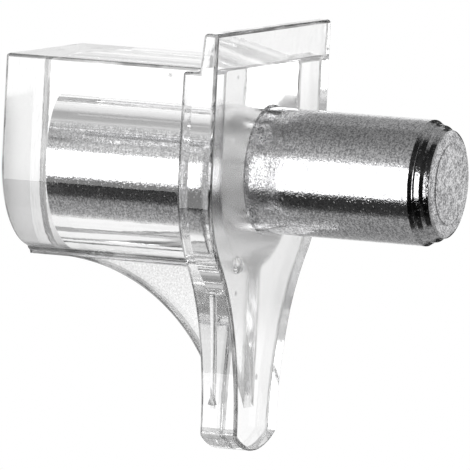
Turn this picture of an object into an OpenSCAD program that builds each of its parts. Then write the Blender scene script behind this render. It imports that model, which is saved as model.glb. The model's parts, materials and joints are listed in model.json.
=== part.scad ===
// Shelf support pin: a clear moulded bracket on a plain steel dowel pin.
// Millimetres. The origin is on the pin's axis, in the plane of the bracket's wall face.
// +X runs along the pin, out of the bracket and into the cabinet side. +Z is up, and Y runs across.

/* [Pin] */
// Pin diameter, for a drilled shelf hole of the same nominal size
pin_d = 5; // [3.5:0.1:5.6]
// How far the pin stands out of the wall face
pin_out = 7.75; // [5:0.05:12]
// How far the pin goes into the bracket
pin_in = 8.25; // [5:0.05:8.6]
// Length of the pin's pointed end, from its full diameter to its end face
pin_end = 0.85; // [0.5:0.05:1.5]
// Length of the short steep break where the pointed end begins
break_x = 0.2; // [0.05:0.01:0.3]
// Depth of that break, on the radius
break_r = 0.12; // [0.04:0.01:0.2]
// Depth of the whole taper, on the radius
taper_r = 0.5; // [0.3:0.05:0.8]
// Width of the rim around the end face
rim_r = 0.38; // [0.1:0.02:0.6]
// Drop from the end face to the outside of its rim
rim_x = 0.05; // [0.01:0.01:0.12]

/* [Bore] */
// Draft of the moulded bore that grips the pin, in degrees
bore_draft = 0.25; // [0.1:0.05:1]
// Lead-in around the pin at the wall face
mouth = 0.15; // [0.05:0.01:0.3]

/* [Plate] */
// Width of the wall plate
plate_w = 11.8; // [9.6:0.1:16]
// Thickness of the plate at the shelf seat
plate_t = 1.42; // [1.1:0.02:2.2]
// Thickness of the plate at the foot
foot_t = 1.57; // [1.1:0.02:2.4]
// Height of the shelf seat above the pin's axis
seat_z = 4.12; // [3.2:0.02:6]
// Depth of the foot's lowest point below the pin's axis
foot_z = 11.15; // [9:0.05:15]
// Width of the foot
foot_w = 4.2; // [2.4:0.1:6]
// Radius of the foot's rounded end
foot_r = 3.8; // [3.2:0.1:8]

/* [Stop tab] */
// Height of the tab's top above the pin's axis
tab_z = 5.66; // [4.6:0.02:9]
// Thickness of the tab where it leaves the seat
tab_t = 0.73; // [0.4:0.01:1]
// Thickness of the tab at its top
tab_tip_t = 0.59; // [0.3:0.01:0.9]

/* [Plate sides] */
// Depth below the pin's axis at which the straight sides end
shoulder_z = 0.1; // [0:0.05:1]
// Radius of the convex shoulder
shoulder_r = 5.1; // [3:0.1:8]
// Radius of the sweep from the shoulder to the leg
sweep_r = 8.1; // [5:0.1:11]
// Radius of the long curve down the leg
leg_r = 11.6; // [8:0.1:20]
// Lean of the side where the sweep meets the leg, in degrees
leg_lean = 22; // [12:1:28]

/* [Boss] */
// Width of the boss, and twice the radius of its underside
boss_w = 7.6; // [6.2:0.1:9.4]
// Depth of the bracket from the wall face to the end of the boss
boss_x = 9.86; // [9:0.02:14]

/* [Web] */
// Thickness of the web under the boss
web_t = 1; // [0.5:0.05:2]
// Radius of the web's hollow edge
web_r = 7.35; // [6.6:0.05:9.6]
// Distance from the wall face at which the hollow edge begins
web_x = 8.65; // [7.6:0.05:8.95]
// Drop of the web below the boss
web_drop = 0.22; // [0.05:0.01:0.3]
// Radius of the fillet between the web and the boss
web_fillet = 0.4; // [0.1:0.05:0.7]

/* [Gate mark] */
// Diameter of the gate mark on the wall face
gate_d = 0.7; // [0.3:0.05:1]
// Height of the gate mark
gate_h = 0.3; // [0.05:0.05:0.35]
// Position of the gate mark across the plate
gate_y = -2.9; // [-3.2:0.1:-2.6]
// Position of the gate mark below the pin's axis
gate_z = -3.6; // [-4:0.1:-3.2]

/* [Hidden] */
$fn = 96;

clear_col = [0.86, 0.9, 0.92, 0.45];
steel_col = [0.62, 0.62, 0.64];

pin_r = pin_d / 2;
shank_r = pin_r - pin_in * tan(bore_draft); // radius of the pin and the bore at the blind end
boss_r = boss_w / 2;
half_w = plate_w / 2;
over = 1; // how far a cutter runs past the face it cuts

// The plate's side is three arcs in a row, each tangent to the next. The lean at the end of the
// shoulder is the one that brings the side in from the plate's width to the foot's.
side_step = half_w - foot_w / 2;
shoulder_lean = acos((shoulder_r + sweep_r * cos(leg_lean) + leg_r * (1 - cos(leg_lean)) - side_step)
                     / (shoulder_r + sweep_r));
shoulder_c = [half_w - shoulder_r, -shoulder_z];
shoulder_end = shoulder_c + shoulder_r * [cos(shoulder_lean), -sin(shoulder_lean)];
sweep_c = shoulder_end + sweep_r * [cos(shoulder_lean), -sin(shoulder_lean)];
sweep_end = sweep_c + sweep_r * [-cos(leg_lean), sin(leg_lean)];
leg_c = sweep_end + leg_r * [cos(leg_lean), -sin(leg_lean)];
leg_end = [foot_w / 2, leg_c[1]];
low = -foot_z + min(0, leg_c[1] + foot_z) - over; // clear below both the foot and the leg's curve
front_lean = (foot_t - plate_t) / (seat_z + foot_z);

web_c = [-web_x, -boss_r - web_drop - web_r]; // centre of the web's hollow edge, in X and Z
web_bottom = web_c[1] + sqrt(max(0, pow(web_r, 2) - pow(web_x - plate_t, 2)));

// Turns a drawing in Y and Z into a solid that runs along X.
module along_x(from, to) {
    translate([from, 0, 0]) rotate([90, 0, 90]) linear_extrude(to - from) children();
}

// Turns a drawing in X and Z into a solid of the given width, centred on Y.
module across_y(width) {
    rotate([90, 0, 0]) linear_extrude(width, center = true) children();
}

// A strip of a drawing between two heights, reaching as far to each side of the middle.
module strip(bottom, top, reach) {
    translate([-reach, bottom]) square([2 * reach, top - bottom]);
}

// One half of the plate's outline, down past the foot.
module half_outline() {
    difference() {
        union() {
            polygon([[0, tab_z], [half_w, tab_z], [half_w, -shoulder_z], shoulder_end, sweep_end,
                     leg_end, [foot_w / 2, low], [0, low]]);
            // the shoulder bulges past its chord
            intersection() {
                translate(shoulder_c) circle(shoulder_r);
                polygon([shoulder_c, [half_w, -shoulder_z], [half_w, shoulder_end[1]], shoulder_end]);
            }
        }
        // the sweep and the leg are hollow, so each is cut back from its chord
        intersection() {
            translate(sweep_c) circle(sweep_r);
            translate([0, sweep_end[1]]) square([half_w, shoulder_end[1] - sweep_end[1]]);
        }
        intersection() {
            translate(leg_c) circle(leg_r);
            translate([0, leg_end[1]]) square([half_w, sweep_end[1] - leg_end[1]]);
        }
    }
}

module plate_outline() {
    difference() {
        union() {
            half_outline();
            mirror([1, 0]) half_outline();
        }
        // the foot ends in a shallow arc
        difference() {
            strip(low - over, -foot_z + foot_r / 2, half_w);
            translate([0, -foot_z + foot_r]) circle(foot_r);
        }
    }
}

// The plate seen from the side: a flat wall face, a drafted front and the thin stop tab above the seat.
module plate_profile() {
    bottom = -foot_z - over;
    polygon([[0, bottom], [0, tab_z], [-tab_tip_t, tab_z], [-tab_t, seat_z], [-plate_t, seat_z],
             [-plate_t - front_lean * (seat_z - bottom), bottom]]);
}

module boss_section() {
    translate([-boss_r, 0]) square([boss_w, seat_z]);
    circle(boss_r);
}

// The web across its thickness, with a fillet up each side that runs tangent into the boss.
module web_section() {
    fillet_c = [web_t / 2 + web_fillet,
                -sqrt(pow(boss_r + web_fillet, 2) - pow(web_t / 2 + web_fillet, 2))];
    strip(-foot_z, -boss_r / 2, web_t / 2);
    difference() {
        strip(fillet_c[1], -boss_r / 2, fillet_c[0] * boss_r / (boss_r + web_fillet));
        for (side = [-1, 1]) translate([side * fillet_c[0], fillet_c[1]]) circle(web_fillet);
    }
}

// The web seen from the side: under the boss, in front of the plate, above the hollow edge.
module web_profile() {
    difference() {
        translate([-boss_x, web_bottom]) square([boss_x - plate_t / 2, -web_bottom - boss_r / 2]);
        translate(web_c) circle(web_r);
        translate([-boss_x - over, web_bottom - over])
            square([boss_x - web_x + over, web_c[1] + web_r - web_bottom + over]);
    }
}

// Turns a drawing in radius and X about the pin's axis.
module turned() {
    rotate([0, 90, 0]) rotate_extrude() children();
}

// The part of the pin that the plastic grips, which follows the bore's draft.
module shank() {
    polygon([[0, -pin_in], [shank_r, -pin_in], [pin_r, 0], [0, 0]]);
}

module bore() {
    turned() {
        shank();
        polygon([[0, -mouth], [pin_r, -mouth], [pin_r + mouth + over, over], [0, over]]);
    }
}

// A low dome left where the plastic entered the mould.
module gate_mark() {
    dome_r = (pow(gate_d / 2, 2) + pow(gate_h, 2)) / (2 * gate_h);
    intersection() {
        translate([gate_h - dome_r, gate_y, gate_z]) sphere(dome_r);
        translate([-plate_t / 2, gate_y - gate_d, gate_z - gate_d])
            cube([plate_t / 2 + gate_h + over, 2 * gate_d, 2 * gate_d]);
    }
}

module bracket() {
    color(clear_col) difference() {
        union() {
            intersection() {
                along_x(-plate_t - foot_t, 0) plate_outline();
                across_y(plate_w + over) plate_profile();
            }
            along_x(-boss_x, -plate_t / 2) boss_section();
            intersection() {
                along_x(-boss_x, -plate_t / 2) web_section();
                across_y(boss_w) web_profile();
            }
            gate_mark();
        }
        bore();
    }
}

module pin() {
    full = pin_out - pin_end; // how far the full diameter reaches
    color(steel_col) turned() {
        shank();
        polygon([[0, 0], [pin_r, 0], [pin_r, full], [pin_r - break_r, full + break_x],
                 [pin_r - taper_r, pin_out - rim_x], [pin_r - taper_r - rim_r, pin_out], [0, pin_out]]);
    }
}

bracket();
pin();
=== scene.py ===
"""Shelf support pin: a clear moulded bracket on a steel dowel pin, and the studio it stands in.

Metres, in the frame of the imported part: X runs along the pin and out of the bracket, Z is up.
"""

import json
import math

import bmesh
import bpy
from mathutils import Matrix, Vector


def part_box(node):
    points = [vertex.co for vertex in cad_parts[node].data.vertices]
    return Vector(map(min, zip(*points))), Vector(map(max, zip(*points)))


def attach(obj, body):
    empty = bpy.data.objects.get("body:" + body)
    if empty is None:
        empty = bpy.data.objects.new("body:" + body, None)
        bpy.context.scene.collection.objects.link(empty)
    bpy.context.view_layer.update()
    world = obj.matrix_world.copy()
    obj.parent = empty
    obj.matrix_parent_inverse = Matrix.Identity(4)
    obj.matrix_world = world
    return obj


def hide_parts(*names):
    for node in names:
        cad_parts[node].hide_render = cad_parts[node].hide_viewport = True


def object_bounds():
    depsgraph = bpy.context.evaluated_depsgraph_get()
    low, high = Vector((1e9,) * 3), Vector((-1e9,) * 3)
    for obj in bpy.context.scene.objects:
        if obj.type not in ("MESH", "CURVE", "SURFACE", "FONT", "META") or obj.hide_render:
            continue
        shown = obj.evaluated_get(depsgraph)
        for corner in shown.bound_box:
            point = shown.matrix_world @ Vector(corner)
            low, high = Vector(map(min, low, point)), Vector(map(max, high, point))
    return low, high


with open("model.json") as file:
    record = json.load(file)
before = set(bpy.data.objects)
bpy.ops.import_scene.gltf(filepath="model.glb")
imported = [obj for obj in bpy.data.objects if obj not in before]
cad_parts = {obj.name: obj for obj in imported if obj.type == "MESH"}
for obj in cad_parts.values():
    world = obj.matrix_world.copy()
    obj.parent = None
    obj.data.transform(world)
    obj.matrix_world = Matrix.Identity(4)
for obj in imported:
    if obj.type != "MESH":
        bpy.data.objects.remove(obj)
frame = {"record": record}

bl_info = {
    "name": "Shelf Support Pin",
    "version": (1, 0, 0),
    "blender": (4, 5, 0),
    "location": "3D View > Sidebar > Shelf Pin",
    "description": "Models a clear shelf support on a steel pin and lights it for a picture",
    "category": "Object",
}

MM = 0.001
CAD_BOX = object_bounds()
BRACKET_LOW, BRACKET_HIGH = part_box("bracket")
PIN_LOW, PIN_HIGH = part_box("pin")
MOUNTS = {mount["name"]: mount for mount in frame["record"]["mounts"]}

ALONG_PIN = Vector((1, 0, 0))
ACROSS = Vector((0, 1, 0))
UP = Vector((0, 0, 1))
ARC_STEP = math.radians(1.5)  # turn of each short edge of an arc
AXIS_STEPS = 240  # sides of what is turned about the pin's axis
MERGE = 0.00005 * MM  # vertices closer than this are one
LEVEL = math.radians(0.05)  # faces that meet at less than this are one
BEND = math.radians(0.2)  # faces that meet at more than this follow a curve
SHARP = math.radians(35)  # edges sharper than this are softened
FLAT_AREA = 1 * MM ** 2  # larger faces are shaded flat
THIN = 0.02 * MM  # depth of a mask that picks the faces in one plane
EDGE_MARK = "softened_edge"


def length(name, description, default):
    """A length setting, in metres."""
    return bpy.props.FloatProperty(
        name=name, description=description, default=default, min=0, precision=6,
        subtype="DISTANCE", unit="LENGTH")


def angle(name, description, degrees):
    """An angle setting, given in degrees."""
    return bpy.props.FloatProperty(
        name=name, description=description, default=math.radians(degrees),
        subtype="ANGLE", unit="ROTATION")


def colour(name, description, *tone):
    """A colour setting."""
    return bpy.props.FloatVectorProperty(
        name=name, description=description, default=tone, size=3, min=0, max=1, subtype="COLOR")


def share(name, description, default):
    """A setting from 0 to 1."""
    return bpy.props.FloatProperty(
        name=name, description=description, default=default, min=0, max=1, subtype="FACTOR")


class BracketSizes(bpy.types.PropertyGroup):
    """Sizes of the clear bracket."""

    width: length("Plate width", "Width of the wall plate", BRACKET_HIGH.y - BRACKET_LOW.y)
    tab_top: length("Tab top", "Height of the tab above the pin's axis", BRACKET_HIGH.z)
    foot_depth: length("Foot depth", "Depth of the foot below the pin's axis", -BRACKET_LOW.z)
    seat: length("Seat height", "Height of the shelf seat above the pin's axis",
                 MOUNTS["shelf_seat"]["pos_m"][2])
    depth: length("Depth", "From the wall face to the end of the boss", -BRACKET_LOW.x)
    plate: length("Plate thickness", "Thickness of the plate at the seat", 1.42 * MM)
    foot_plate: length("Foot thickness", "Thickness of the plate at the foot", 1.57 * MM)
    foot_width: length("Foot width", "Width of the foot", 4.2 * MM)
    foot_radius: length("Foot radius", "Radius of the foot's rounded end", 3.8 * MM)
    tab: length("Tab thickness", "Thickness of the tab at the seat", 0.73 * MM)
    tab_tip: length("Tab tip", "Thickness of the tab at its top", 0.59 * MM)
    shoulder_drop: length("Shoulder drop", "Depth at which the straight sides end", 0.1 * MM)
    shoulder_radius: length("Shoulder radius", "Radius of the convex shoulder", 5.1 * MM)
    sweep_radius: length("Sweep radius", "Radius from the shoulder to the leg", 8.1 * MM)
    leg_radius: length("Leg radius", "Radius of the long curve down the leg", 11.6 * MM)
    leg_lean: angle("Leg lean", "Lean of the side where the sweep meets the leg", 22)
    boss_width: length("Boss width", "Width of the boss", 7.6 * MM)
    web: length("Web thickness", "Thickness of the web under the boss", 1 * MM)
    web_radius: length("Web radius", "Radius of the web's hollow edge", 7.35 * MM)
    web_reach: length("Web reach", "From the wall face to the start of the hollow", 8.65 * MM)
    web_drop: length("Web drop", "Drop of the web below the boss", 0.22 * MM)
    web_fillet: length("Web fillet", "Fillet between the web and the boss", 0.4 * MM)
    gate: length("Gate mark", "Diameter of the gate mark", 0.7 * MM)
    gate_rise: length("Gate rise", "Height of the gate mark", 0.3 * MM)
    gate_across: length("Gate across", "From the pin's axis across to the gate mark", 2.9 * MM)
    gate_down: length("Gate down", "From the pin's axis down to the gate mark", 3.6 * MM)
    mouth: length("Bore mouth", "Lead-in around the pin at the wall face", 0.08 * MM)
    edge: length("Edge radius", "Width of the softened edges", 0.13 * MM)
    patch_top: length("Matt patch top",
                      "From the pin's axis up to the top of the matt patch on the boss's end", 2.6 * MM)
    patch_side: length("Matt patch side", "From the pin's axis to the far side of that patch",
                       1.5 * MM)
    clearance: length("Bore clearance", "Air between the pin and the bore", 0.008 * MM)
    satin_down: length("Satin middle", "From the pin's axis down to the middle of the satin wall",
                       2 * MM)
    satin_full: length("Satin reach", "From that middle to where the satin begins to fade", 3 * MM)
    satin_gone: length("Satin end", "From that middle to where the satin is gone", 6.5 * MM)
    waves: length("Wave height", "Height of the slight waves in the plastic's faces", 0.0015 * MM)
    tint: colour("Plastic colour", "Colour of the clear plastic", 1.0, 1.0, 1.0)
    # painted shade: the dark colour given to the softened edges, the web's flat sides and the boss's
    # end patch
    painted_shade_tint: colour("Edge colour", "Colour of the plastic where its edges are softened",
                      0.13, 0.13, 0.13)
    speck_tint: colour("Speck colour", "Colour of the specks in the plastic", 0.3, 0.3, 0.3)
    # painted shade: how far the web's flat sides are darkened towards the shade colour
    web_painted_shade: share("Web haze", "Strength of the haze on the web's flat sides", 0.8)
    satin: share("Satin roughness", "Roughness of the satin parts", 0.26)
    gloss: share("Plastic roughness", "Roughness of the polished faces", 0.02)
    index: bpy.props.FloatProperty(name="Refractive index", default=1.66, min=1,
                                   description="Refractive index of the plastic")


# The turned rings of the taper: how far each step lies beyond the straight part, and how deep, in
# millimetres. The two longest stretches are nearly level.
TAPER_RINGS = ((0.14, 0.11), (0.17, 0.11), (0.22, 0.16), (0.42, 0.19), (0.53, 0.32), (0.74, 0.36))


class PinSizes(bpy.types.PropertyGroup):
    """Sizes of the steel pin."""

    radius: length("Radius", "Radius of the pin", MOUNTS["pin"]["dims"]["r_mm"] * MM)
    out: length("Out", "How far the pin stands out of the wall face", PIN_HIGH.x)
    gripped: length("Gripped", "How far the pin goes into the bracket", -PIN_LOW.x)
    straight: length("Straight", "How far the full diameter reaches",
                     MOUNTS["pin"]["dims"]["length_mm"] * MM)
    taper: length("Taper depth", "Depth of the whole taper on the radius", 0.5 * MM)
    rim: length("Rim width", "Width of the rim around the end face", 0.38 * MM)
    rim_drop: length("Rim drop", "Drop from the end face to the outside of its rim", 0.05 * MM)
    groove: length("Rim groove", "Depth of the groove inside the rim", 0.045 * MM)
    edge: length("Edge radius", "Width of the softened edges", 0.012 * MM)
    relief: length("Grain height", "Height of the grain", 0.0011 * MM)
    bright: colour("Steel colour", "Colour of the bright steel", 0.97, 0.97, 0.98)
    dull: colour("Grain colour", "Colour of the steel in its grain", 0.36, 0.36, 0.37)
    pit: colour("Pit colour", "Colour of the small pits in the steel", 0.6, 0.6, 0.6)
    roughness: share("Steel roughness", "Roughness of the straight part", 0.09)
    turned: share("Taper roughness", "Roughness of the turned taper", 0.08)
    sawn: share("End roughness", "Roughness of the end face", 0.5)
    pitted: share("Pit roughness", "Roughness added in the small pits", 0.2)
    varied: share("Grain roughness", "How far the roughness varies with the grain", 0.16)


class StudioSettings(bpy.types.PropertyGroup):
    """Camera, floor and light."""

    azimuth: angle("Azimuth", "Camera's turn from the front, towards the pin's end", 22.22)
    elevation: angle("Elevation", "Camera's height above the horizon", 4.98)
    roll: angle("Roll", "Camera's turn about its own axis", 2.71)
    lens: bpy.props.FloatProperty(name="Lens", description="Focal length in millimetres",
                                  default=1400, subtype="DISTANCE_CAMERA")
    field: length("Field", "Width of the picture at the part", 18.555 * MM)
    shift_left: length("Shift left", "From the part's centre left to the picture's", 0.22 * MM)
    shift_up: length("Shift up", "From the part's centre up to the picture's", 0.083 * MM)
    drop: length("Floor drop", "From the foot down to the floor", 12 * MM)
    floor: length("Floor radius", "Radius of the floor", 80 * MM)
    floor_tint: colour("Floor colour", "Colour of the floor", 0.86, 0.86, 0.86)
    softbox: bpy.props.FloatProperty(name="Softbox", description="Brightness of the softbox",
                                     default=2.4, min=0)
    overhead: bpy.props.FloatProperty(name="Overhead", description="Brightness of the overhead lamp",
                                      default=3.0, min=0)


# --------------------------------------------------------------------------- drawing and solids

def line_to(bm, start, point):
    """Adds a straight edge from a vertex to a point, and returns the new vertex."""
    end = bm.verts.new(point)
    bm.edges.new((start, end))
    return end


def arc_to(bm, start, centre, axis, turn):
    """Sweeps a vertex about a centre as a chain of short edges, and returns the last vertex."""
    steps = max(1, math.ceil(abs(turn) / ARC_STEP))
    swept = bmesh.ops.spin(bm, geom=[start], cent=centre, axis=axis, angle=turn, steps=steps)
    return next(item for item in swept["geom_last"] if isinstance(item, bmesh.types.BMVert))


def close_outline(bm, mirror_across=True):
    """Mirrors a half outline across the middle if asked, joins its ends and fills it."""
    if mirror_across:
        bmesh.ops.mirror(bm, geom=bm.verts[:] + bm.edges[:], axis="Y", merge_dist=MERGE)
    ends = [vert for vert in bm.verts if len(vert.link_edges) == 1]
    if ends:
        bm.edges.new(ends)
    return bmesh.ops.contextual_create(bm, geom=bm.edges[:])["faces"][0]


def extrude(bm, faces, offset):
    """Extrudes faces by an offset, and returns the moved faces."""
    edges = list(dict.fromkeys(edge for face in faces for edge in face.edges))
    grown = bmesh.ops.extrude_face_region(bm, geom=faces + edges)["geom"]
    verts = [item for item in grown if isinstance(item, bmesh.types.BMVert)]
    bmesh.ops.translate(bm, verts=verts, vec=offset)
    return [item for item in grown if isinstance(item, bmesh.types.BMFace)]


def tidy(bm):
    """Merges doubles and points every face outwards."""
    bmesh.ops.remove_doubles(bm, verts=bm.verts[:], dist=MERGE)
    bmesh.ops.recalc_face_normals(bm, faces=bm.faces[:])


def join_level_faces(bm):
    """Makes one face of neighbours that lie in one plane."""
    bmesh.ops.dissolve_limit(bm, angle_limit=LEVEL, verts=bm.verts[:], edges=bm.edges[:])


def soften(bm, width, sharp=SHARP, segments=3):
    """Rounds every sharp edge, and marks the new faces in the edge attribute."""
    mark = bm.faces.layers.float.new(EDGE_MARK)
    edges = [edge for edge in bm.edges if edge.is_manifold and edge.calc_face_angle() > sharp]
    made = bmesh.ops.bevel(bm, geom=edges, offset=width, offset_type="OFFSET", affect="EDGES",
                           segments=segments, profile=0.5, material=-1, clamp_overlap=False)
    for face in made["faces"]:
        face[mark] = 1


def cut_through(bm, along, place):
    """Adds a loop of edges across a mesh, which keeps the shading beyond a softened edge true."""
    bmesh.ops.bisect_plane(bm, geom=bm.verts[:] + bm.edges[:] + bm.faces[:], dist=MERGE,
                           plane_co=place * along, plane_no=along)


def piece(name, bm):
    """Puts a mesh in the scene as a new object at the origin."""
    mesh = bpy.data.meshes.new(name)
    bm.to_mesh(mesh)
    bm.free()
    thing = bpy.data.objects.new(name, mesh)
    bpy.context.scene.collection.objects.link(thing)
    return thing


def combine(body, tool_bm, operation):
    """Unites a body with a tool mesh, cuts the body with it, or keeps what they share."""
    tool = piece("tool", tool_bm)
    step = body.modifiers.new(operation, "BOOLEAN")
    step.operation = operation
    step.solver = "EXACT"
    step.object = tool
    bpy.context.view_layer.update()
    made = bpy.data.meshes.new_from_object(body.evaluated_get(bpy.context.evaluated_depsgraph_get()))
    body.modifiers.clear()
    body.data = made
    bpy.data.objects.remove(tool)


def smooth_shade(thing):
    """Shades softened edges and curved stretches smoothly, and keeps the flat faces flat."""
    thing.data.set_sharp_from_angle(angle=SHARP)
    bm = bmesh.new()
    bm.from_mesh(thing.data)
    mark = bm.faces.layers.float[EDGE_MARK]
    soft = {face for face in bm.faces if face[mark] > 0.5}
    for face in bm.faces:
        curved = any(BEND < edge.calc_face_angle(0) < SHARP for edge in face.edges
                     if soft.isdisjoint(edge.link_faces))
        face.smooth = face in soft or (curved and face.calc_area() < FLAT_AREA)
    bm.to_mesh(thing.data)
    bm.free()


# --------------------------------------------------------------------------- bracket

def plate_half_outline(bm, size):
    """Draws one side of the wall plate: straight to the shoulder, then three tangent arcs."""
    half = size.width / 2
    lean = size.leg_lean
    step = half - size.foot_width / 2
    radii = size.shoulder_radius + size.sweep_radius
    reach = (size.shoulder_radius + size.sweep_radius * math.cos(lean)
             + size.leg_radius * (1 - math.cos(lean)) - step)
    shoulder = math.acos(reach / radii)

    def off(centre, radius, tilt):
        """The point at a tilt below the horizontal, at a radius from a centre."""
        return centre + radius * Vector((0, math.cos(tilt), -math.sin(tilt)))

    shoulder_c = Vector((0, half - size.shoulder_radius, -size.shoulder_drop))
    sweep_c = off(shoulder_c, radii, shoulder)
    leg_c = off(off(sweep_c, -size.sweep_radius, lean), size.leg_radius, lean)
    foot_c = Vector((0, 0, size.foot_radius - size.foot_depth))
    foot_turn = math.asin(size.foot_width / 2 / size.foot_radius)

    tip = line_to(bm, bm.verts.new((0, 0, size.tab_top)), (0, half, size.tab_top))
    tip = line_to(bm, tip, (0, half, -size.shoulder_drop))
    tip = arc_to(bm, tip, shoulder_c, ALONG_PIN, -shoulder)
    tip = arc_to(bm, tip, sweep_c, ALONG_PIN, shoulder - lean)
    tip = arc_to(bm, tip, leg_c, ALONG_PIN, lean)
    tip = line_to(bm, tip, off(foot_c, size.foot_radius, math.pi / 2 - foot_turn))
    arc_to(bm, tip, foot_c, ALONG_PIN, -foot_turn)


def plate(size):
    """The wall plate, thin above the seat and full below it."""
    bm = bmesh.new()
    plate_half_outline(bm, size)
    face = close_outline(bm)
    extrude(bm, [face], -size.tab * ALONG_PIN)
    tidy(bm)
    bmesh.ops.bisect_plane(bm, geom=bm.verts[:] + bm.edges[:] + bm.faces[:], dist=MERGE,
                           plane_co=(0, 0, size.seat), plane_no=UP)
    front = [face for face in bm.faces
             if face.normal.x < -0.9 and face.calc_center_median().z < size.seat]
    grown = extrude(bm, front, (size.tab - size.plate) * ALONG_PIN)
    lean = (size.foot_plate - size.plate) / (size.seat + size.foot_depth)
    for vert in {vert for face in grown for vert in face.verts}:
        vert.co.x -= lean * (size.seat - vert.co.z)
    for vert in bm.verts:
        if vert.co.z > size.tab_top - MERGE and vert.co.x < -MERGE:
            vert.co.x += size.tab - size.tab_tip
    join_level_faces(bm)
    tidy(bm)
    return bm


def boss(size):
    """The boss: a flat top, straight sides and a round underside."""
    bm = bmesh.new()
    half = size.boss_width / 2
    start = bm.verts.new((-size.plate / 2, half, size.seat))
    side = line_to(bm, start, (-size.plate / 2, half, 0))
    far = arc_to(bm, side, Vector((-size.plate / 2, 0, 0)), ALONG_PIN, -math.pi)
    line_to(bm, far, (-size.plate / 2, -half, size.seat))
    face = close_outline(bm, mirror_across=False)
    extrude(bm, [face], (size.plate / 2 - size.depth) * ALONG_PIN)
    tidy(bm)
    return bm


def web_section(size):
    """The web across its thickness, run the whole length of the boss, with its two fillets."""
    bm = bmesh.new()
    boss_radius = size.boss_width / 2
    across = size.web / 2 + size.web_fillet
    down = math.sqrt((boss_radius + size.web_fillet) ** 2 - across ** 2)
    fillet_c = Vector((-size.plate / 2, across, -down))
    start = bm.verts.new((-size.plate / 2, size.web / 2, -size.foot_depth))
    tip = line_to(bm, start, (-size.plate / 2, size.web / 2, -down))
    tip = arc_to(bm, tip, fillet_c, ALONG_PIN, -math.atan2(down, across))
    line_to(bm, tip, (-size.plate / 2, tip.co.y, -boss_radius / 2))
    bmesh.ops.mirror(bm, geom=bm.verts[:] + bm.edges[:], axis="Y", merge_dist=MERGE)
    for level in (-size.foot_depth, -boss_radius / 2):
        bm.edges.new([vert for vert in bm.verts if abs(vert.co.z - level) < MERGE])
    face = bmesh.ops.contextual_create(bm, geom=bm.edges[:])["faces"][0]
    extrude(bm, [face], (size.plate / 2 - size.depth) * ALONG_PIN)
    tidy(bm)
    return bm


def web_profile(size):
    """The web seen from the side, with its hollow edge, made wider than the web itself."""
    bm = bmesh.new()
    boss_radius = size.boss_width / 2
    keel = -boss_radius - size.web_drop
    centre = Vector((-size.web_reach, -size.boss_width, keel - size.web_radius))
    turn = math.asin((size.web_reach - size.plate) / size.web_radius)
    over = size.plate
    start = bm.verts.new((-size.depth - over, centre.y, keel))
    tip = line_to(bm, start, (-size.web_reach, centre.y, keel))
    tip = arc_to(bm, tip, centre, ACROSS, turn)
    tip = line_to(bm, tip, (-size.plate / 4, centre.y, tip.co.z))
    tip = line_to(bm, tip, (-size.plate / 4, centre.y, 0))
    line_to(bm, tip, (-size.depth - over, centre.y, 0))
    face = close_outline(bm, mirror_across=False)
    extrude(bm, [face], 2 * size.boss_width * ACROSS)
    tidy(bm)
    return bm


def gate_mark(size):
    """The low dome left where the plastic entered the mould."""
    bm = bmesh.new()
    dome = ((size.gate / 2) ** 2 + size.gate_rise ** 2) / (2 * size.gate_rise)
    place = Vector((size.gate_rise - dome, -size.gate_across, -size.gate_down))
    bmesh.ops.create_uvsphere(bm, u_segments=48, v_segments=32, radius=dome,
                              matrix=Matrix.Translation(place))
    return bm


def bore(size, pin):
    """The blind bore: straight, a little wider than the pin, with a lead-in at the wall face."""
    bm = bmesh.new()
    over = size.mouth
    radius = pin.radius + size.clearance
    tip = line_to(bm, bm.verts.new((-pin.gripped, 0, 0)), (-pin.gripped, 0, radius))
    tip = line_to(bm, tip, (-size.mouth, 0, radius))
    tip = line_to(bm, tip, (over, 0, radius + size.mouth + over))
    line_to(bm, tip, (over, 0, 0))
    turn_on_axis(bm)
    return bm


def turn_on_axis(bm):
    """Turns a drawing about the pin's axis into a closed solid."""
    bmesh.ops.spin(bm, geom=bm.verts[:] + bm.edges[:], cent=(0, 0, 0), axis=ALONG_PIN,
                   angle=math.tau, steps=AXIS_STEPS, use_merge=True)
    tidy(bm)


class SHELFPIN_OT_bracket(bpy.types.Operator):
    """Model the clear bracket"""

    bl_idname = "shelfpin.bracket"
    bl_label = "Clear Bracket"

    def execute(self, context):
        size = context.scene.shelfpin_bracket
        web = piece("web", web_section(size))
        combine(web, web_profile(size), "INTERSECT")
        web_bm = bmesh.new()
        web_bm.from_mesh(web.data)
        bpy.data.objects.remove(web)

        body = piece("clear_bracket", plate(size))
        combine(body, boss(size), "UNION")
        combine(body, web_bm, "UNION")
        bm = bmesh.new()
        bm.from_mesh(body.data)
        tidy(bm)
        join_level_faces(bm)
        soften(bm, size.edge)
        # loops just past the softened edges
        near = 1.2 * size.edge
        for place in (near - size.depth, -size.foot_plate - near, near - size.plate, -near):
            cut_through(bm, ALONG_PIN, place)
        for place in (near - size.web / 2, size.web / 2 - near):
            cut_through(bm, ACROSS, place)
        tidy(bm)
        bm.to_mesh(body.data)
        bm.free()
        combine(body, gate_mark(size), "UNION")
        combine(body, bore(size, context.scene.shelfpin_pin), "DIFFERENCE")
        smooth_shade(body)
        body.data.materials.clear()
        body.data.materials.append(clear_plastic(size))
        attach(body, "root")
        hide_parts("bracket")
        return {"FINISHED"}


# --------------------------------------------------------------------------- pin

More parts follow.
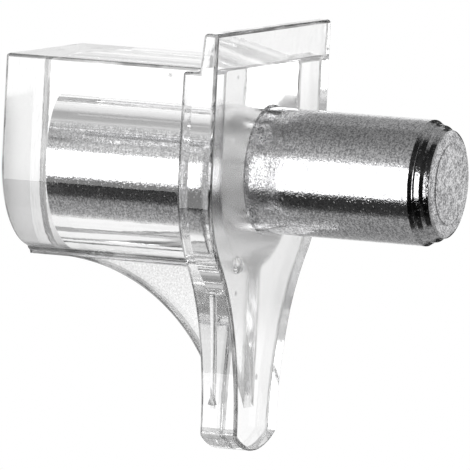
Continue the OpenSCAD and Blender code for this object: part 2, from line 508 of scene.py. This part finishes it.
class SHELFPIN_OT_pin(bpy.types.Operator):
    """Model the steel pin"""

    bl_idname = "shelfpin.pin"
    bl_label = "Steel Pin"

    def execute(self, context):
        size = context.scene.shelfpin_pin
        bm = bmesh.new()
        tip = line_to(bm, bm.verts.new((-size.gripped, 0, 0)), (-size.gripped, 0, size.radius))
        # a ring near each end keeps the shading of the long straight part true
        near = 4 * size.edge
        tip = line_to(bm, tip, (near - size.gripped, 0, size.radius))
        tip = line_to(bm, tip, (size.straight - near, 0, size.radius))
        tip = line_to(bm, tip, (size.straight, 0, size.radius))
        for beyond, depth in TAPER_RINGS:
            tip = line_to(bm, tip, (size.straight + beyond * MM, 0, size.radius - depth * MM))
        tip = line_to(bm, tip, (size.out - size.rim_drop, 0, size.radius - size.taper))
        rim = size.radius - size.taper - size.rim
        tip = line_to(bm, tip, (size.out - size.groove / 2, 0, rim + size.groove))
        tip = line_to(bm, tip, (size.out - size.groove, 0, rim))
        tip = line_to(bm, tip, (size.out, 0, rim - size.groove))
        line_to(bm, tip, (size.out, 0, 0))
        turn_on_axis(bm)
        soften(bm, size.edge, sharp=math.radians(5), segments=2)
        tidy(bm)
        dowel = piece("steel_pin", bm)
        smooth_shade(dowel)
        dowel.data.materials.append(pin_steel(size))
        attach(dowel, "root")
        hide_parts("pin")
        return {"FINISHED"}


# --------------------------------------------------------------------------- materials

class Tree:
    """Adds nodes to a material, a world or a group, and links them."""

    def __init__(self, tree):
        self.nodes, self.links = tree.nodes, tree.links

    def feed(self, socket, value):
        """Links a socket to another node, or sets its value."""
        if isinstance(value, bpy.types.NodeSocket):
            self.links.new(value, socket)
        else:
            socket.default_value = value

    def add(self, kind, output=0, settings=(), **inputs):
        """Adds a node with its settings and inputs, and returns one of its outputs."""
        node = self.nodes.new(kind)
        for name, value in dict(settings).items():
            setattr(node, name, value)
        for name, value in inputs.items():
            self.feed(node.inputs[name.replace("_", " ")], value)
        return node.outputs[output]

    def maths(self, operation, *values, clamp=False):
        """Adds a Math node."""
        node = self.nodes.new("ShaderNodeMath")
        node.operation = operation
        node.use_clamp = clamp
        for socket, value in zip(node.inputs, values):
            self.feed(socket, value)
        return node.outputs[0]

    def product(self, first, *others):
        """Multiplies values together."""
        for other in others:
            first = self.maths("MULTIPLY", first, other)
        return first

    def rise(self, value, start, end, smooth=False):
        """A share that runs from 0 at the start to 1 at the end."""
        kind = "SMOOTHSTEP" if smooth else "LINEAR"
        return self.add("ShaderNodeMapRange", settings={"interpolation_type": kind},
                        Value=value, From_Min=start, From_Max=end)

    def stretch(self, vector, factors):
        """Multiplies a vector by a factor for each axis."""
        node = self.nodes.new("ShaderNodeVectorMath")
        node.operation = "MULTIPLY"
        self.feed(node.inputs[0], vector)
        self.feed(node.inputs[1], factors)
        return node.outputs[0]

    def axes(self, coordinates):
        """The X, Y and Z of the named texture coordinates."""
        where = self.add("ShaderNodeTexCoord", coordinates)
        return self.add("ShaderNodeSeparateXYZ", Vector=where).node.outputs

    def blend(self, factor, first, second):
        """Mixes two colours."""
        node = self.nodes.new("ShaderNodeMix")
        node.data_type = "RGBA"
        for socket, value in zip((node.inputs["Factor"], node.inputs["A"], node.inputs["B"]),
                                 (factor, first, second)):
            self.feed(socket, (*value, 1) if isinstance(value, tuple) else value)
        return node.outputs["Result"]

    def group(self, made, **inputs):
        """Places a node group with its own values, and returns its output."""
        node = self.nodes.new("ShaderNodeGroup")
        node.node_tree = made
        for name, value in inputs.items():
            self.feed(node.inputs[name], value)
        return node.outputs[0]


def new_group(name, *sockets):
    """An empty shader node group with one output, and its named inputs."""
    if name in bpy.data.node_groups:
        return bpy.data.node_groups[name], None, None
    made = bpy.data.node_groups.new(name, "ShaderNodeTree")
    for label, kind, default in sockets:
        socket = made.interface.new_socket(label, in_out="INPUT", socket_type=kind)
        socket.default_value = default
    made.interface.new_socket("Mask", in_out="OUTPUT", socket_type="NodeSocketFloat")
    return made, Tree(made), made.nodes.new("NodeGroupInput").outputs


def grain():
    """Noise with its own number of cells a metre on each axis, sharpened between two levels."""
    made, tree, given = new_group(
        "grain", ("Fineness", "NodeSocketVector", (1, 1, 1)), ("Low", "NodeSocketFloat", 0.4),
        ("High", "NodeSocketFloat", 0.6))
    if tree:
        where = tree.stretch(tree.add("ShaderNodeTexCoord", "Object"), given["Fineness"])
        noise = tree.add("ShaderNodeTexNoise", Vector=where, Scale=1.0, Detail=2.0, Roughness=0.6)
        out = made.nodes.new("NodeGroupOutput")
        tree.feed(out.inputs["Mask"], tree.rise(noise, given["Low"], given["High"]))
    return made


def specks():
    """Small round specks, in a share of the cells of a cell pattern."""
    made, tree, given = new_group(
        "specks", ("Fineness", "NodeSocketFloat", 1), ("Radius", "NodeSocketFloat", 0.2),
        ("Share", "NodeSocketFloat", 0.1))
    if tree:
        where = tree.add("ShaderNodeTexCoord", "Object")
        cells = tree.nodes.new("ShaderNodeTexVoronoi")
        tree.feed(cells.inputs["Vector"], where)
        tree.feed(cells.inputs["Scale"], given["Fineness"])
        core = tree.maths("MULTIPLY", given["Radius"], 0.6)
        near = tree.rise(cells.outputs["Distance"], given["Radius"], core)
        pick = tree.add("ShaderNodeSeparateColor", Color=cells.outputs["Color"])
        chosen = tree.maths("LESS_THAN", pick, given["Share"])
        out = made.nodes.new("NodeGroupOutput")
        tree.feed(out.inputs["Mask"], tree.maths("MULTIPLY", near, chosen))
    return made


def new_material(name):
    """A material's tree and its Principled BSDF."""
    made = bpy.data.materials.new(name)
    made.use_nodes = True
    return made, Tree(made.node_tree), made.node_tree.nodes["Principled BSDF"]


def clear_plastic(size):
    """Clear plastic: polished with satin and matt parts and dust, with painted shade on its softened
    edges, on the web's flat sides and on the boss's end.
    """
    made, tree, surface = new_material("clear_plastic")
    place = tree.axes("Object")
    uneven = tree.group(grain(), Fineness=(900, 900, 900), Low=0.3, High=0.62)
    waves = tree.group(grain(), Fineness=(2400, 2400, 2400), Low=0.2, High=0.8)
    fine = tree.group(grain(), Fineness=(12000, 12000, 12000), Low=0.2, High=0.8)
    dust = tree.group(specks(), Fineness=700.0, Radius=0.11, Share=0.1)

    # the middle of the wall face is satin, and so is the gate mark on it
    from_middle = tree.maths("ABSOLUTE", tree.maths("ADD", place["Z"], size.satin_down))
    wall = tree.product(tree.maths("COMPARE", place["X"], 0.0, THIN),
                        tree.rise(from_middle, size.satin_gone, size.satin_full, smooth=True))
    gate = tree.maths("GREATER_THAN", place["X"], THIN)

    # the boss's end has a matt patch, softer at its top than at its side, and its colour is darkened
    # there as painted shade
    top_fade, side_fade = 0.3 * MM, 0.1 * MM
    patch = tree.product(tree.rise(place["Z"], size.patch_top, size.patch_top - top_fade),
                         tree.rise(place["Y"], size.patch_side, size.patch_side - side_fade),
                         tree.maths("COMPARE", place["X"], -size.depth, THIN))

    # painted shade darkens the web's flat sides in a fine pattern, most of all under the boss
    web = tree.product(tree.rise(place["Z"], -size.foot_depth, -size.boss_width / 2),
                       tree.maths("COMPARE", tree.maths("ABSOLUTE", place["Y"]), size.web / 2, THIN),
                       tree.maths("LESS_THAN", place["X"], -size.foot_plate))
    painted_shade = tree.product(web, fine, size.web_painted_shade)
    # the boss's end patch is darkened too, as painted shade
    painted_shade = tree.maths("MULTIPLY_ADD", patch, tree.product(uneven, 0.5), painted_shade)

    # painted shade: the softened edges are darkened in the colour, for the dark lines that light draws
    # along them
    edge = tree.add("ShaderNodeAttribute", "Fac", {"attribute_name": EDGE_MARK})
    edge = tree.product(edge, tree.maths("MULTIPLY_ADD", uneven, 0.5, 0.5))
    colour = tree.blend(edge, tuple(size.tint), tuple(size.painted_shade_tint))
    # painted shade on the web's flat sides and the boss's end patch
    colour = tree.blend(painted_shade, colour, tuple(size.painted_shade_tint))
    tree.feed(surface.inputs["Base Color"], tree.blend(dust, colour, tuple(size.speck_tint)))

    matt = tree.maths("ADD", tree.maths("ADD", wall, patch), gate)
    tree.feed(surface.inputs["Roughness"],
              tree.maths("MULTIPLY_ADD", matt, size.satin - size.gloss, size.gloss))
    tree.feed(surface.inputs["Normal"],
              tree.add("ShaderNodeBump", Height=waves, Distance=size.waves))
    surface.inputs["Transmission Weight"].default_value = 1
    surface.inputs["IOR"].default_value = size.index
    return made


def pin_steel(size):
    """Bright steel with a fine grain and small pits, a turned taper and sawn ends."""
    made, tree, surface = new_material("pin_steel")
    fine, coarse = 14000, 2600
    speckle = tree.group(grain(), Fineness=(fine, fine, fine), Low=0.45, High=0.55)
    strokes = tree.group(grain(), Fineness=(fine, coarse, coarse), Low=0.45, High=0.55)
    pits = tree.group(specks(), Fineness=9000.0, Radius=0.42, Share=0.35)
    # mostly an even grain, with some strokes that run round the pin
    mottle = tree.maths("MULTIPLY_ADD", speckle, 0.7, tree.product(strokes, 0.3))
    colour = tree.blend(mottle, tuple(size.bright), tuple(size.dull))
    tree.feed(surface.inputs["Base Color"], tree.blend(pits, colour, tuple(size.pit)))

    along = tree.axes("Object")["X"]
    taper = tree.maths("GREATER_THAN", along, size.straight + size.edge)
    outer_end = tree.maths("GREATER_THAN", along, size.out - size.rim_drop - size.edge)
    inner_end = tree.maths("LESS_THAN", along, size.edge - size.gripped)
    end = tree.maths("ADD", outer_end, inner_end)
    rough = tree.maths("MULTIPLY_ADD", taper, size.turned - size.roughness, size.roughness)
    rough = tree.maths("MULTIPLY_ADD", end, size.sawn - size.turned, rough)
    rough = tree.maths("MULTIPLY_ADD", tree.maths("SUBTRACT", mottle, 0.5), size.varied, rough,
                       clamp=True)
    tree.feed(surface.inputs["Roughness"], tree.maths("MULTIPLY_ADD", pits, size.pitted, rough))

    # a pit is half as deep again as the grain is high
    height = tree.maths("MULTIPLY_ADD", pits, -1.5, mottle)
    tree.feed(surface.inputs["Normal"],
              tree.add("ShaderNodeBump", Height=height, Distance=size.relief))
    surface.inputs["Metallic"].default_value = 1
    return made


# --------------------------------------------------------------------------- studio

# Tones of the room, by the angle up from the front and round the pin's axis, in degrees. The first
# row is what the steel and the plastic mirror, and the second is what shows through the plastic.
MIRRORED = (
    (-180, 1.0), (-165, 1.0), (-152, 0.45), (-115, 0.33), (-70, 0.345), (-66, 0.15), (-61, 0.045),
    (-36, 0.04), (-20, 0.1), (20, 0.1), (27, 1.0), (31, 0.9), (35, 0.66), (40, 0.56), (45, 0.46),
    (55, 0.4), (70, 0.3), (85, 0.25), (107, 0.24), (115, 0.38), (130, 0.35), (150, 0.45),
    (165, 1.0), (180, 1.0),
)
THROUGH = (
    (-180, 1.0), (-118, 1.0), (-104, 1.0), (-97, 0.55), (-88, 0.46), (-71, 0.38), (-66, 0.32),
    (-62, 0.05), (-36, 0.05), (-20, 0.2), (20, 0.2), (34, 0.85), (40, 0.42), (46, 0.68), (58, 0.55),
    (70, 0.3), (95, 0.25), (111, 0.62), (135, 0.82), (143, 0.9), (150, 0.75), (154, 0.75),
    (160, 1.0), (180, 1.0),
)
# What shows through the plastic towards the pin's side, where its faces mirror the room.
BESIDE = (
    (-180, 1.0), (-165, 1.0), (-150, 0.6), (-90, 0.4), (0, 0.4), (80, 0.4), (110, 0.9),
    (164, 0.85), (172, 0.95), (180, 1.0),
)


def ramp(tree, place, stops):
    """A colour ramp over the angle, from a list of angles and tones."""
    node = tree.nodes.new("ShaderNodeValToRGB")
    marks = node.color_ramp.elements
    while len(marks) < len(stops):
        marks.new(0.5)
    for mark, (degrees, tone) in zip(marks, stops):
        mark.position = degrees / 360 + 0.5
        mark.color = (tone, tone, tone, 1)
    tree.feed(node.inputs[0], place)
    return node.outputs["Color"]


def room_light():
    """The room: white to the camera, and a white backdrop in grey surroundings to the part."""
    world = bpy.data.worlds.new("room")
    bpy.context.scene.world = world
    world.use_nodes = True
    tree = Tree(world.node_tree)
    tree.nodes.clear()

    toward = tree.axes("Generated")
    turn = tree.maths("ARCTAN2", toward["Z"], tree.product(toward["Y"], -1.0))
    place = tree.maths("ADD", tree.maths("DIVIDE", turn, math.tau), 0.5)

    # on the pin's side, the mirrored room is nearly black in front and a little dimmed behind
    in_front, at_back = 0.06, 0.86
    side = tree.rise(toward["X"], -0.2, -0.1)
    behind = tree.rise(toward["Y"], 0.0, 0.15)
    dim = tree.maths("MULTIPLY_ADD", behind, at_back - in_front, in_front)
    dim = tree.maths("MULTIPLY_ADD", side, tree.maths("SUBTRACT", dim, 1.0), 1.0)

    # a dark strip beside the backdrop draws the far edges
    strip = tree.product(tree.rise(toward["Y"], 0.75, 0.85),
                         tree.maths("COMPARE", toward["X"], -0.1, 0.2))
    dim = tree.product(dim, tree.maths("MULTIPLY_ADD", strip, -0.95, 1.0))
    mirrored = tree.blend(dim, (0.0, 0.0, 0.0), ramp(tree, place, MIRRORED))

    # through the plastic, the room on the pin's side has its own tones, and is greyer further out
    outer = tree.product(tree.rise(toward["X"], 0.385, 0.41), 0.2)
    beside = tree.blend(outer, ramp(tree, place, BESIDE), (0.0, 0.0, 0.0))
    through = tree.blend(tree.rise(toward["X"], 0.1, 0.25), ramp(tree, place, THROUGH), beside)

    ray = tree.add("ShaderNodeLightPath").node.outputs
    shown = tree.blend(ray["Is Glossy Ray"], (1.0, 1.0, 1.0), mirrored)
    shown = tree.blend(ray["Is Transmission Ray"], shown, through)
    shine = tree.add("ShaderNodeBackground", Color=shown)
    out = tree.nodes.new("ShaderNodeOutputWorld")
    tree.feed(out.inputs["Surface"], shine)


def lamp(name, toward, distance, width, height, brightness):
    """A soft rectangular lamp that faces the origin, out of the camera's sight."""
    light = bpy.data.lights.new(name, "AREA")
    light.shape = "RECTANGLE"
    light.size, light.size_y = width, height
    light.energy = brightness * math.pi * width * height  # so that size leaves it as bright
    thing = bpy.data.objects.new(name, light)
    turn = toward.to_track_quat("Z", "Y").to_matrix()
    thing.matrix_world = Matrix.Translation(toward.normalized() * distance) @ turn.to_4x4()
    thing.visible_camera = False
    bpy.context.scene.collection.objects.link(thing)
    return thing


def floor(settings):
    """A plain pale floor that fades out towards its rim."""
    bm = bmesh.new()
    bmesh.ops.create_circle(bm, cap_ends=True, segments=128, radius=settings.floor)
    bmesh.ops.translate(bm, verts=bm.verts[:], vec=(0, 0, BRACKET_LOW.z - settings.drop))
    ground = piece("floor", bm)
    made, tree, surface = new_material("floor")
    tree.feed(surface.inputs["Base Color"], (*settings.floor_tint, 1))
    surface.inputs["Roughness"].default_value = 0.9
    flat = tree.stretch(tree.add("ShaderNodeTexCoord", "Object"), (1, 1, 0))
    reach = tree.add("ShaderNodeVectorMath", "Value", {"operation": "LENGTH"}, Vector=flat)
    fade = tree.rise(reach, settings.floor * 0.98, settings.floor * 0.4)
    clear = tree.add("ShaderNodeBsdfTransparent")
    mix = tree.nodes.new("ShaderNodeMixShader")
    for socket, value in zip(mix.inputs, (fade, clear, surface.outputs[0])):
        tree.feed(socket, value)
    tree.feed(tree.nodes["Material Output"].inputs["Surface"], mix.outputs[0])
    ground.data.materials.append(made)
    ground.visible_glossy = False
    ground.visible_transmission = False


def camera(settings):
    """A long lens, a little above the front and towards the pin's end."""
    turn, rise = settings.azimuth, settings.elevation
    back = Vector((math.sin(turn) * math.cos(rise), -math.cos(turn) * math.cos(rise),
                   math.sin(rise)))
    aim = (-back).to_track_quat("-Z", "Y").to_matrix() @ Matrix.Rotation(settings.roll, 3, "Z")
    lens = bpy.data.cameras.new("camera")
    lens.lens = settings.lens
    low, high = CAD_BOX
    target = (low + high) / 2 + aim @ Vector((-settings.shift_left, settings.shift_up, 0))
    eye = bpy.data.objects.new("camera", lens)
    distance = settings.lens / lens.sensor_width * settings.field
    eye.matrix_world = Matrix.Translation(target + back * distance) @ aim.to_4x4()
    bpy.context.scene.collection.objects.link(eye)
    bpy.context.scene.camera = eye


class SHELFPIN_OT_studio(bpy.types.Operator):
    """Set up the floor, the light and the camera"""

    bl_idname = "shelfpin.studio"
    bl_label = "Studio"

    def execute(self, context):
        settings = context.scene.shelfpin_studio
        view = context.scene.view_settings
        view.view_transform = "Standard"
        cycles = context.scene.cycles
        cycles.max_bounces = 32
        cycles.glossy_bounces = 24
        cycles.transmission_bounces = 32
        room_light()
        floor(settings)
        lamp("softbox", toward=Vector((-0.42, -1, -0.032)), distance=0.55,
             width=0.8, height=0.552, brightness=settings.softbox)
        overhead = lamp("overhead", toward=UP, distance=0.5,
                        width=0.35, height=0.35, brightness=settings.overhead)
        overhead.visible_glossy = False
        overhead.visible_transmission = False
        camera(settings)
        return {"FINISHED"}


class SHELFPIN_PT_panel(bpy.types.Panel):
    """Lists the operators"""

    bl_label = "Shelf Pin"
    bl_idname = "SHELFPIN_PT_panel"
    bl_space_type = "VIEW_3D"
    bl_region_type = "UI"
    bl_category = "Shelf Pin"

    def draw(self, context):
        for step in STEPS:
            self.layout.operator(step.bl_idname)


STEPS = (SHELFPIN_OT_bracket, SHELFPIN_OT_pin, SHELFPIN_OT_studio)
CLASSES = (BracketSizes, PinSizes, StudioSettings, *STEPS, SHELFPIN_PT_panel)


def register():
    for cls in CLASSES:
        bpy.utils.register_class(cls)
    bpy.types.Scene.shelfpin_bracket = bpy.props.PointerProperty(type=BracketSizes)
    bpy.types.Scene.shelfpin_pin = bpy.props.PointerProperty(type=PinSizes)
    bpy.types.Scene.shelfpin_studio = bpy.props.PointerProperty(type=StudioSettings)


def unregister():
    del bpy.types.Scene.shelfpin_studio
    del bpy.types.Scene.shelfpin_pin
    del bpy.types.Scene.shelfpin_bracket
    for cls in reversed(CLASSES):
        bpy.utils.unregister_class(cls)


def main():
    register()
    bpy.ops.shelfpin.bracket()
    bpy.ops.shelfpin.pin()
    bpy.ops.shelfpin.studio()


if __name__ == "__main__":
    main()
